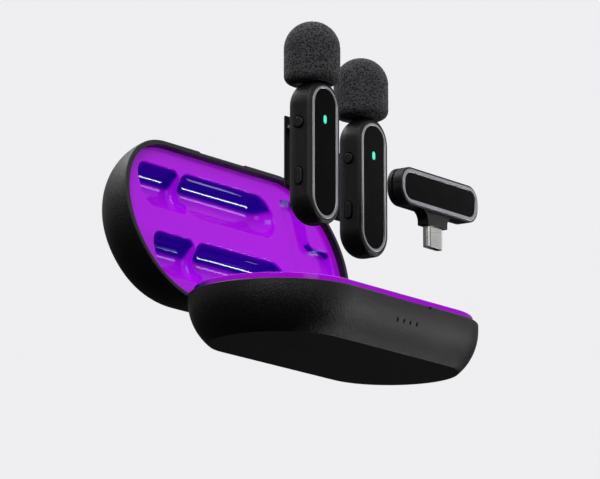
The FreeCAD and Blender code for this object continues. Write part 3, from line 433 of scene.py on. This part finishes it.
def satin_metal(name, colour, roughness, grain):
    """Metal whose colour is a little darker on the patches; grain moves roughness and the bump."""
    material, tree, shader = start_material(name, colour, 1.0)
    grained = add_group(tree, GRAIN, Grain=grain, Roughness=roughness, Spread=METAL_SPREAD)
    marks = add_group(tree, HANDLING)
    darker = tuple(HANDLED_DARKER * c for c in colour)
    drive(tree, shader, colour_mix(tree, colour, darker, marks.outputs["Patch"]),
          grained.outputs["Roughness"], grained.outputs["Height"], METAL_GRAIN_DEPTH)
    return material


def polished_panel(name, colour, roughness, shine):
    """Roughness plus a small step on the wiped patches; twice the colour where dust lies."""
    material, tree, shader = start_material(name, colour, shine=shine)
    shader.inputs["IOR"].default_value = PANEL_IOR
    marks = add_group(tree, HANDLING, Patch_size=WIPE_SIZE)
    wiped = ranged(tree, marks.outputs["Patch"], 0.0, 1.0, roughness, roughness + WIPE_STEP)
    dusty = tuple(DUSTY_TIMES * c for c in colour)
    drive(tree, shader, colour_mix(tree, colour, dusty, marks.outputs["Dust"]), wiped)
    return material


TRIM_GREY = satin_metal("trim_grey", (0.42, 0.42, 0.45), 0.36, 5000.0)
STEEL = satin_metal("plain_steel", (0.56, 0.55, 0.54), 0.28, 3500.0)
GOLD = satin_metal("contact_gold", (0.83, 0.58, 0.24), 0.22, 5000.0)
NICKEL = satin_metal("magnet_nickel_plate", (0.62, 0.60, 0.57), 0.2, 4200.0)
MIC_BLACK = satin_metal("mic_head_black", (0.045, 0.045, 0.048), 0.4, 4200.0)
CELL_FOIL = satin_metal("cell_foil", (0.38, 0.39, 0.41), 0.38, 1500.0)
PANEL_BLACK = polished_panel("panel_black", (0.0020, 0.0020, 0.0028), 0.20, 0.12)
WINDOW_SMOKE = polished_panel("window_smoke", (0.001, 0.001, 0.0015), 0.45, 0.05)
print("metals:", TRIM_GREY.name, STEEL.name, GOLD.name, NICKEL.name, "panels:", PANEL_BLACK.name)

# %% [markdown]
# ## Boards
# The circuit boards stay hidden in the closed units, but an exploded view shows them. Solder mask
# is a green lacquer over copper tracks, which show through as slightly lighter lines. A brick
# pattern with thin joints stands for them.

# %% Boards
MASK_GREEN, MASK_DARKER = (0.010, 0.085, 0.030), (0.008, 0.070, 0.025)
TRACK_GREEN = (0.022, 0.150, 0.055)
TRACK_SCALE, TRACK_WIDTH = 260.0, 0.03
MASK_SMOOTH, MASK_HANDLED = 0.28, 0.42


def solder_mask(name):
    """Two near greens in bricks, with lighter tracks as the joints; roughness by the patches."""
    material, tree, shader = start_material(name, MASK_GREEN)
    tracks = add_node(tree, "ShaderNodeTexBrick", Scale=TRACK_SCALE, Mortar_Size=TRACK_WIDTH,
                      Color1=(*MASK_GREEN, 1), Color2=(*MASK_DARKER, 1), Mortar=(*TRACK_GREEN, 1))
    feed(tree, add_node(tree, "ShaderNodeTexCoord").outputs["Object"], tracks.inputs["Vector"])
    marks = add_group(tree, HANDLING)
    gloss = ranged(tree, marks.outputs["Patch"], 0.0, 1.0, MASK_SMOOTH, MASK_HANDLED)
    drive(tree, shader, tracks.outputs["Color"], gloss)
    return material


BOARD_GREEN = solder_mask("board_green")
print("board finish:", BOARD_GREEN.name)

# %% [markdown]
# ## The status light
# A status light is a small clear guide with a lamp behind it, so it glows more at its heart than
# at its ends. An even emission would look like paint. Here the glow follows the distance from the
# middle of the guide, and as both units share one finish, each point takes the nearer of the two
# middles.

# %% Status light
TEAL_EDGE, TEAL_HEART, GLOW_REACH = (0.0, 0.50, 0.30), (0.05, 1.0, 0.66), 2.2 * MM
GLOW_STRENGTH, GUIDE_ROUGHNESS = 0.85, 0.3


def lit_guide(name, edge, heart, centres, reach):
    """Edge colour at the reach and beyond, heart colour at the nearest of the centres."""
    material, tree, shader = start_material(name, edge)
    place = add_node(tree, "ShaderNodeTexCoord").outputs["Object"]
    first, second = (vector_maths(tree, "DISTANCE", place, centre) for centre in centres)
    inward = ranged(tree, maths(tree, "MINIMUM", first, second), reach, 0.0)
    glow = colour_mix(tree, edge, heart, inward)
    feed(tree, glow, shader.inputs["Emission Color"])
    shader.inputs["Emission Strength"].default_value = GLOW_STRENGTH
    drive(tree, shader, glow, GUIDE_ROUGHNESS)
    return material


light_middles = [sum(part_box("transmitter_%d_status_light" % n), Vector()) / 2 for n in (1, 2)]
TEAL = lit_guide("status_teal", TEAL_EDGE, TEAL_HEART, light_middles, GLOW_REACH)
print("light guides at", [[round(v / MM, 1) for v in middle] for middle in light_middles], "mm")

# %% [markdown]
# ## Numpy surfaces
# A finished shape is a grid of points: one index walks along a profile, the other round a path.
# The first helper turns such a grid into a mesh with one face per cell, closes it where asked,
# merges points that meet in a pole, and turns all faces outward. The other two make profiles: one
# spaces points evenly along a line, and one draws an arc.

# %% Grid to mesh
MERGE_WITHIN, SLIVER = 1e-7, 1e-8


def surface(name, points, material, wrap_rows=False):
    """Points by row and column; face (i, j) joins (i, j), (i, j+1), (i+1, j+1) and (i+1, j).
    The columns close on themselves, and the rows do where asked."""
    rows, columns = points.shape[:2]
    i = np.arange(rows if wrap_rows else rows - 1)[:, None]
    j = np.arange(columns)[None, :]
    right, below = (j + 1) % columns, (i + 1) % rows
    corners = np.stack([i * columns + j, i * columns + right,
                        below * columns + right, below * columns + j], -1)
    mesh = bpy.data.meshes.new(name)
    mesh.from_pydata(points.reshape(-1, 3).tolist(), [], corners.reshape(-1, 4).tolist())
    work = bmesh.new()
    work.from_mesh(mesh)
    bmesh.ops.remove_doubles(work, verts=work.verts, dist=MERGE_WITHIN)
    bmesh.ops.dissolve_degenerate(work, edges=work.edges, dist=SLIVER)
    bmesh.ops.recalc_face_normals(work, faces=work.faces)
    work.to_mesh(mesh)
    work.free()
    mesh.polygons.foreach_set("use_smooth", [True] * len(mesh.polygons))
    mesh.materials.append(material)
    piece = bpy.data.objects.new(name, mesh)
    scene.collection.objects.link(piece)
    return piece


def along(profile, count):
    """Points at equal steps along a polyline of (radius, height)."""
    profile = np.asarray(profile, float)
    steps = np.r_[0, np.cumsum(np.linalg.norm(np.diff(profile, axis=0), axis=1))]
    at = np.linspace(0, steps[-1], count)
    return np.stack([np.interp(at, steps, profile[:, k]) for k in (0, 1)], 1)


def quarter(centre, radius, start, end, count=24):
    """Centre plus radius times (cos, sin) of angles from start to end, in degrees."""
    angle = np.radians(np.linspace(start, end, count))
    return np.stack([centre[0] + radius * np.cos(angle), centre[1] + radius * np.sin(angle)], 1)


# %% [markdown]
# ## Open-cell foam
# The windscreen is a thimble of open-cell foam: a dome on a short cylinder, with a socket
# underneath for the microphone. Cloth tools would make it saggy, and a bump map alone would leave
# a clean outline. Real cells are pits a little over half a millimetre apart, so the surface of
# revolution gets a dense grid and every point is pushed inward by a cellular noise worked out
# with numpy. Only inward: the foam keeps the size of the part.

# %% Foam cells
CELL_PITCH, CELL_REACH = 0.62 * MM, 0.62
FINE_PITCH, FINE_SEED_STEP, FINE_SHARE = 0.31 * MM, 5, 0.25
STIR = np.array([[12.9898, 39.3468, 73.1560],
                 [78.2330, 11.1350, 52.2350],
                 [37.7190, 83.1550, 9.1510]])
STIR_GAIN = 43758.5453
BEYOND_ANY_CELL = 9.0


def cell_noise(points, pitch, seed):
    """Distance over the pitch from each point to the nearest feature point. One of these lies at a
    random place in each cube of a lattice: the fraction of a large multiple of the sine of the
    cube's stirred indices plus the seed."""
    scaled = points / pitch
    base = np.floor(scaled)
    nearest = np.full(len(points), BEYOND_ANY_CELL)
    for step in np.ndindex(3, 3, 3):
        cell = base + (np.array(step) - 1)
        random = np.modf(np.abs(np.sin(cell @ STIR + seed)) * STIR_GAIN)[0]
        nearest = np.minimum(nearest, np.linalg.norm(cell + random - scaled, axis=1))
    return nearest


def hollow(points, pitch, seed):
    """One at the heart of a cell, falling to nothing where its reach ends."""
    return np.clip(1 - cell_noise(points, pitch, seed) / CELL_REACH, 0, 1)


def pits(points, seed):
    """Three parts of the coarse cells' hollows to one part of the fine cells'."""
    coarse = hollow(points, CELL_PITCH, seed)
    fine = hollow(points, FINE_PITCH, seed + FINE_SEED_STEP)
    return coarse * (1 - FINE_SHARE) + fine * FINE_SHARE


# %% [markdown]
# ## The foam's colour
# Foam looks dark because light gets lost in its cells, and only their walls catch it. So the
# colour follows the same pits that shape the surface: they are stored on the mesh as an
# attribute, and the material reads it. A fine fleck breaks the walls up, and a little sheen
# stands for their fuzz.

# %% Foam finish
FOAM_DARK, FOAM_WALL = (0.002, 0.002, 0.0026), (0.080, 0.079, 0.084)
FLECK_SCALE, FLECK_DEPTH = 2600.0, 0.08 * MM
WALL_FROM, WALL_TO = -0.05, 0.66
FOAM_GREY, FOAM_ROUGHNESS, FOAM_SHINE = (0.030, 0.030, 0.032), 0.95, 0.25
FUZZ, FUZZ_ROUGHNESS = 0.25, 0.5


def foam_material():
    """From near black to grey as the fleck less the stored pit rises."""
    material, tree, shader = start_material("foam_charcoal", FOAM_GREY, shine=FOAM_SHINE)
    pit = add_node(tree, "ShaderNodeAttribute")
    pit.attribute_name = "pit"
    place = add_node(tree, "ShaderNodeTexCoord").outputs["Object"]
    fleck = noise(tree, place, FLECK_SCALE, Detail=2.0)
    wall = ranged(tree, maths(tree, "SUBTRACT", fleck, pit.outputs["Fac"]), WALL_FROM, WALL_TO)
    drive(tree, shader, colour_mix(tree, FOAM_DARK, FOAM_WALL, wall), FOAM_ROUGHNESS,
          fleck, FLECK_DEPTH)
    shader.inputs["Sheen Weight"].default_value = FUZZ
    shader.inputs["Sheen Roughness"].default_value = FUZZ_ROUGHNESS
    return material


FOAM = foam_material()
print("foam finish:", FOAM.name)

# %% [markdown]
# ## The windscreens
# The profile starts at the top of the socket, comes down its wall, crosses the flat underside and
# climbs the outside to the top of the dome. Turned round the axis it gives the thimble. Where the
# round top of the unit's body would press into the underside, the foam is lifted to sit on it.

# %% Foam shape
PIT_DEPTH = 0.34 * MM
SOCKET_PLAY, SOCKET_MOST = 0.3 * MM, 3.0 * MM
UNDER_EDGE = 2.6 * MM
SEAT_GAP, BODY_HALF_DEPTH, SEAT_HALF_DEPTH = 0.25 * MM, 4.9 * MM, 5.2 * MM
FAR_BELOW, PAST_SOCKET_WALL = -1.0, 0.999
SOCKET_ROWS, OUTSIDE_ROWS, DOME_STEPS, ROUND_STEPS = 14, 212, 40, 360
SEED_STEP = 0.37


def body_top(points, housing, gap):
    """Height of the housing's half-round top above each point, plus a gap; far below beside it."""
    low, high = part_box(housing)
    radius = (high.x - low.x) / 2 + gap
    across = np.abs(points[..., 0] - (low.x + high.x) / 2)
    beside = np.abs(points[..., 1] - (low.y + BODY_HALF_DEPTH)) > SEAT_HALF_DEPTH
    rise = np.sqrt(np.maximum(radius ** 2 - across ** 2, 0))
    return np.where(beside | (across > radius), FAR_BELOW, high.z - (radius - gap) + rise)


def thimble_profile(low, high, head_low, head_high):
    """(Radius, height) of socket top, socket wall, underside, rounded edge, wall and dome in turn,
    with the radius of the socket."""
    radius = (high.x - low.x) / 2
    bore = min((head_high.x - head_low.x) / 2, SOCKET_MOST) + SOCKET_PLAY
    bore_top = head_high.z + SOCKET_PLAY
    inside = along([(0, bore_top), (bore, bore_top), (bore, low.z)], SOCKET_ROWS)
    outside = along(np.concatenate([
        [(bore, low.z)],
        quarter((radius - UNDER_EDGE, low.z + UNDER_EDGE), UNDER_EDGE, -90, 0),
        quarter((0, high.z - radius), radius, 0, 90, DOME_STEPS)]), OUTSIDE_ROWS)
    return np.concatenate([inside, outside[1:]]), bore


def outward_normal(profile):
    """The profile's tangent turned by a quarter and brought to length one."""
    tangent = np.gradient(profile, axis=0)
    length = np.maximum(np.linalg.norm(tangent, axis=1), 1e-12)
    return np.stack([tangent[:, 1], -tangent[:, 0]], 1) / length[:, None]


def windscreen(unit, material, seed):
    """Profile radius times (cos, sin) of the turn, less the pit times the normal, then lifted."""
    low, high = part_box(unit + "_windscreen")
    middle = (low + high) / 2
    profile, bore = thimble_profile(low, high, *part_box(unit + "_mic_head"))
    turn = np.linspace(0, 2 * np.pi, ROUND_STEPS, endpoint=False)
    outward = profile[:, 0][:, None]
    points = np.stack([middle.x + outward * np.cos(turn), middle.y + outward * np.sin(turn),
                       np.repeat(profile[:, 1][:, None], len(turn), 1)], -1)
    push = pits(points.reshape(-1, 3), seed).reshape(points.shape[:2]) * PIT_DEPTH
    push[:SOCKET_ROWS] = 0
    push[-1] = 0
    normal = outward_normal(profile)[:, None, :]
    points -= push[..., None] * np.stack([
        normal[..., 0] * np.cos(turn), normal[..., 0] * np.sin(turn),
        np.repeat(normal[..., 1], len(turn), 1)], -1)
    seat = body_top(points, unit + "_housing", SEAT_GAP)
    lapped = (points[..., 2] < seat) & (outward > bore * PAST_SOCKET_WALL)
    points[..., 2] = np.where(lapped, seat, points[..., 2])
    piece = surface(unit + "_foam_windscreen", points, material)
    stored = hollow(mesh_points(piece.data), CELL_PITCH, seed)
    attribute = piece.data.attributes.new("pit", "FLOAT", "POINT")
    attribute.data.foreach_set("value", stored.astype(np.float32))
    print(piece.name, len(piece.data.polygons), "faces, deepest pit",
          round(push.max() / MM, 2), "mm")
    return piece


for number in (1, 2):
    unit = "transmitter_%d" % number
    foam = windscreen(unit, FOAM, SEED_STEP * number)
    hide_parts(unit + "_windscreen")
    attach(foam, unit + "_windscreen")

# %% [markdown]
# ## Trim rings
# Each front has a narrow metal frame whose edges are softly rounded, so it shows two thin bright
# lines and a satin band between them. It is one profile carried round a rounded rectangle. A pill
# is the same shape with its corners as large as they can be, so one function makes all three.

# %% Trim rings
RING_EDGE, RING_EDGE_STEPS, CORNER_STEPS = 0.32 * MM, 7, 20
PILL = math.inf


def round_path(profile, half_x, half_z, corner):
    """Carries (inset, y) points round an upright rounded rectangle: each inset shrinks the halves
    and the corner alike, and each corner's centre lies one radius inside both sides."""
    inset = profile[:, 0][:, None]
    angle = np.concatenate([np.linspace(q, q + 1, CORNER_STEPS) * np.pi / 2 for q in range(4)])
    side_x = np.concatenate([np.full(CORNER_STEPS, s) for s in (1, -1, -1, 1)])
    side_z = np.concatenate([np.full(CORNER_STEPS, s) for s in (1, 1, -1, -1)])
    radius = np.maximum(corner - inset, 0)
    x = side_x * (half_x - inset - radius) + radius * np.cos(angle)
    z = side_z * (half_z - inset - radius) + radius * np.sin(angle)
    return np.stack([x, np.repeat(profile[:, 1][:, None], len(angle), 1), z], -1)


def ring_profile(band, low, high, soft):
    """Closed section of the ring: square behind, and two quarter rounds in front."""
    front = np.concatenate([quarter((soft, soft), soft, 180, 270, RING_EDGE_STEPS),
                            quarter((band - soft, soft), soft, 270, 360, RING_EDGE_STEPS)])
    front[:, 1] = low + front[:, 1]
    return np.concatenate([[(0, high)], front, [(band, high)]])


def trim_ring(body, corner, band):
    """The ring's section carried round the outline of the CAD ring's own box."""
    node = body + "_trim_ring"
    low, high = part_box(node)
    middle = (low + high) / 2
    half_x, half_z = (high.x - low.x) / 2, (high.z - low.z) / 2
    section = ring_profile(band, low.y, high.y, RING_EDGE)
    points = round_path(section, half_x, half_z, min(corner, half_x))
    points[..., 0] += middle.x
    points[..., 2] += middle.z
    ring = surface(node + "_rounded", points, TRIM_GREY, wrap_rows=True)
    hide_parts(node)
    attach(ring, body)
    print(ring.name, [round(v / MM, 2) for v in (half_x * 2, half_z * 2)], "mm")


for body, corner, band in (("transmitter_1", PILL, 1.1 * MM), ("transmitter_2", PILL, 1.1 * MM),
                           ("receiver", 4.55 * MM, 1.3 * MM)):
    trim_ring(body, corner, band)

# %% [markdown]
# ## Every other node
# The remaining CAD solids are already the right shape, so they keep their meshes and only change
# their clothes. A table says which words in a node's name go with which finish, and the first row
# that fits is taken.

# %% Dress the CAD nodes
FINISHES = [
    (("base_shell", "lid_shell"), CASE_BLACK),
    (("lid_tray",), LID_PURPLE),
    (("base_tray",), BASE_PURPLE),
    (("_magnets",), NICKEL),
    (("_board_screws", "hinge_pins", "socket_shell", "plug_shell"), STEEL),
    (("clip_pin", "clip_spring"), STEEL),
    (("circuit_board", "indicator_board"), BOARD_GREEN),
    (("battery",), CELL_FOIL),
    (("charging_pins", "charge_contacts"), GOLD),
    (("indicator_windows",), WINDOW_SMOKE),
    (("socket_tongue", "plug_liner"), LINER_BLACK),
    (("_housing", "rear_cover", "plug_collar"), UNIT_BLACK),
    (("trim_ring",), TRIM_GREY),
    (("front_panel",), PANEL_BLACK),
    (("status_light",), TEAL),
    (("_button",), BUTTON_BLACK),
    (("mic_head",), MIC_BLACK),
    (("mic_capsule",), NICKEL),
    (("windscreen",), FOAM),
    (("_clip",), CLIP_BLACK),
]
for name, node in frame["nodes"].items():
    finish = next(material for words, material in FINISHES if any(word in name for word in words))
    slots = node.data.materials
    if not slots:
        slots.append(finish)
    for slot in range(len(slots)):
        slots[slot] = finish
print(len(frame["nodes"]), "nodes dressed")

# %% [markdown]
# ## Floor
# The camera looks from just below the table top, so the floor's back side has to let the view
# through. Only the camera sees its upper side: to every other ray it is clear, so that it throws
# no light up onto the black undersides.

# %% Floor
FLOOR_SIZE, FLOOR_DROP = 4.0, -0.15 * MM
FLOOR_PALE, FLOOR_ROUGHNESS, FLOOR_SHINE = (0.80, 0.80, 0.81), 0.9, 0.1


def floor_material():
    """Clear for the larger of Backfacing and one minus Is Camera Ray, and pale for the rest."""
    material, tree, shader = start_material("floor_pale", FLOOR_PALE, shine=FLOOR_SHINE)
    shader.inputs["Roughness"].default_value = FLOOR_ROUGHNESS
    clear = add_node(tree, "ShaderNodeBsdfTransparent")
    behind = add_node(tree, "ShaderNodeNewGeometry").outputs["Backfacing"]
    seen = add_node(tree, "ShaderNodeLightPath").outputs["Is Camera Ray"]
    mix = add_node(tree, "ShaderNodeMixShader")
    unseen = maths(tree, "SUBTRACT", 1.0, seen)
    feed(tree, maths(tree, "MAXIMUM", behind, unseen), mix.inputs["Fac"])
    feed(tree, shader.outputs["BSDF"], mix.inputs[1])
    feed(tree, clear.outputs["BSDF"], mix.inputs[2])
    feed(tree, mix.outputs["Shader"], tree.nodes["Material Output"].inputs["Surface"])
    return material


def make_floor(size, height):
    """One square face round the origin, at a height."""
    half = size / 2
    mesh = bpy.data.meshes.new("studio_floor")
    sides = [(-half, -half), (half, -half), (half, half), (-half, half)]
    mesh.from_pydata([(x, y, height) for x, y in sides], [], [(0, 1, 2, 3)])
    mesh.materials.append(floor_material())
    floor = bpy.data.objects.new("studio_floor", mesh)
    scene.collection.objects.link(floor)
    return floor


floor = make_floor(FLOOR_SIZE, FLOOR_DROP)
print(floor.name, FLOOR_SIZE, "m wide")

# %% [markdown]
# ## World
# The world has two tasks. To the camera, and through clear things, it is an even pale backdrop.
# It lights the scene at a lower level that fades towards the horizon and is nearly dark below it,
# as over a table: black plastic stays black from underneath. Polished and metal faces see the
# pale colour too, but with that same fading, so a panel that faces the floor does not turn grey.

# %% World
BACKDROP, SKYLIGHT = (0.86, 0.86, 0.875, 1), (0.90, 0.91, 0.95, 1)
HORIZON, FULL_FROM = 0.0, 0.75
LEVEL_BELOW, LEVEL_ABOVE = 0.03, 0.8


def make_world():
    """Level: rises with the direction's height. Backdrop: at the larger of the level and 1 for
    straight rays. Skylight: at the level. Straight and glossy rays see the backdrop, the rest
    the skylight."""
    world = bpy.data.worlds.new("pale_studio")
    world.use_nodes = True
    sky = world.node_tree
    sky.nodes.clear()
    rays = add_node(sky, "ShaderNodeLightPath").outputs
    height = add_node(sky, "ShaderNodeSeparateXYZ")
    feed(sky, add_node(sky, "ShaderNodeTexCoord").outputs["Generated"], height.inputs["Vector"])
    level = ranged(sky, height.outputs["Z"], HORIZON, FULL_FROM, LEVEL_BELOW, LEVEL_ABOVE)
    straight = maths(sky, "MAXIMUM", rays["Is Camera Ray"], rays["Is Transmission Ray"])
    backdrop = add_node(sky, "ShaderNodeBackground", Color=BACKDROP)
    feed(sky, maths(sky, "MAXIMUM", straight, level), backdrop.inputs["Strength"])
    skylight = add_node(sky, "ShaderNodeBackground", Color=SKYLIGHT)
    feed(sky, level, skylight.inputs["Strength"])
    mix = add_node(sky, "ShaderNodeMixShader")
    feed(sky, maths(sky, "MAXIMUM", straight, rays["Is Glossy Ray"]), mix.inputs["Fac"])
    feed(sky, skylight.outputs["Background"], mix.inputs[1])
    feed(sky, backdrop.outputs["Background"], mix.inputs[2])
    leave = add_node(sky, "ShaderNodeOutputWorld")
    feed(sky, mix.outputs["Shader"], leave.inputs["Surface"])
    return world


scene.world = make_world()
print("world:", scene.world.name)

# %% [markdown]
# ## Lamps
# A large key at the upper left and a broad lamp above the back shape the black mouldings. Three
# narrow lamps at the right draw the bright lines in the lid's wells, whose glossy walls show them
# as in a curved mirror; two of them stand lower than the table, which is clear to their light. A
# last lamp in front, aimed at the units, draws the light along their edges.

# %% Lamps
KIT_MIDDLE, UNITS_MIDDLE = (-0.02, -0.02, 0.04), (-0.16, -0.11, 0.04)
# Each row holds the name, the place, the target, the width, the height and the watts.
LAMPS = [
    ("key_left", (-1.9, -0.85, 1.4), KIT_MIDDLE, 1.1, 1.1, 21.0),
    ("top_back", (0.15, 1.3, 1.5), KIT_MIDDLE, 1.4, 0.7, 12.0),
    ("strip_thin", (0.79, -0.55, -0.15), KIT_MIDDLE, 0.26, 0.045, 1.9),
    ("strip_middle", (0.80, -0.54, 0.28), KIT_MIDDLE, 0.24, 0.09, 0.40),
    ("strip_wide", (0.80, -0.12, -0.56), KIT_MIDDLE, 0.30, 0.15, 1.1),
    ("unit_edges", (-0.35, -1.75, 0.44), UNITS_MIDDLE, 0.65, 0.65, 3.4),
]


def soft_lamp(name, place, target, width, height, watts):
    """A rectangle of light that looks from its place towards its target."""
    lamp = bpy.data.lights.new(name, "AREA")
    lamp.shape = "RECTANGLE"
    lamp.size, lamp.size_y = width, height
    lamp.energy = watts
    holder = bpy.data.objects.new(name, lamp)
    holder.location = place
    holder.rotation_mode = "QUATERNION"
    holder.rotation_quaternion = (Vector(target) - Vector(place)).to_track_quat("-Z", "Y")
    holder.visible_camera = False
    scene.collection.objects.link(holder)


for row in LAMPS:
    soft_lamp(*row)
print(len(LAMPS), "lamps,", sum(row[-1] for row in LAMPS), "W")
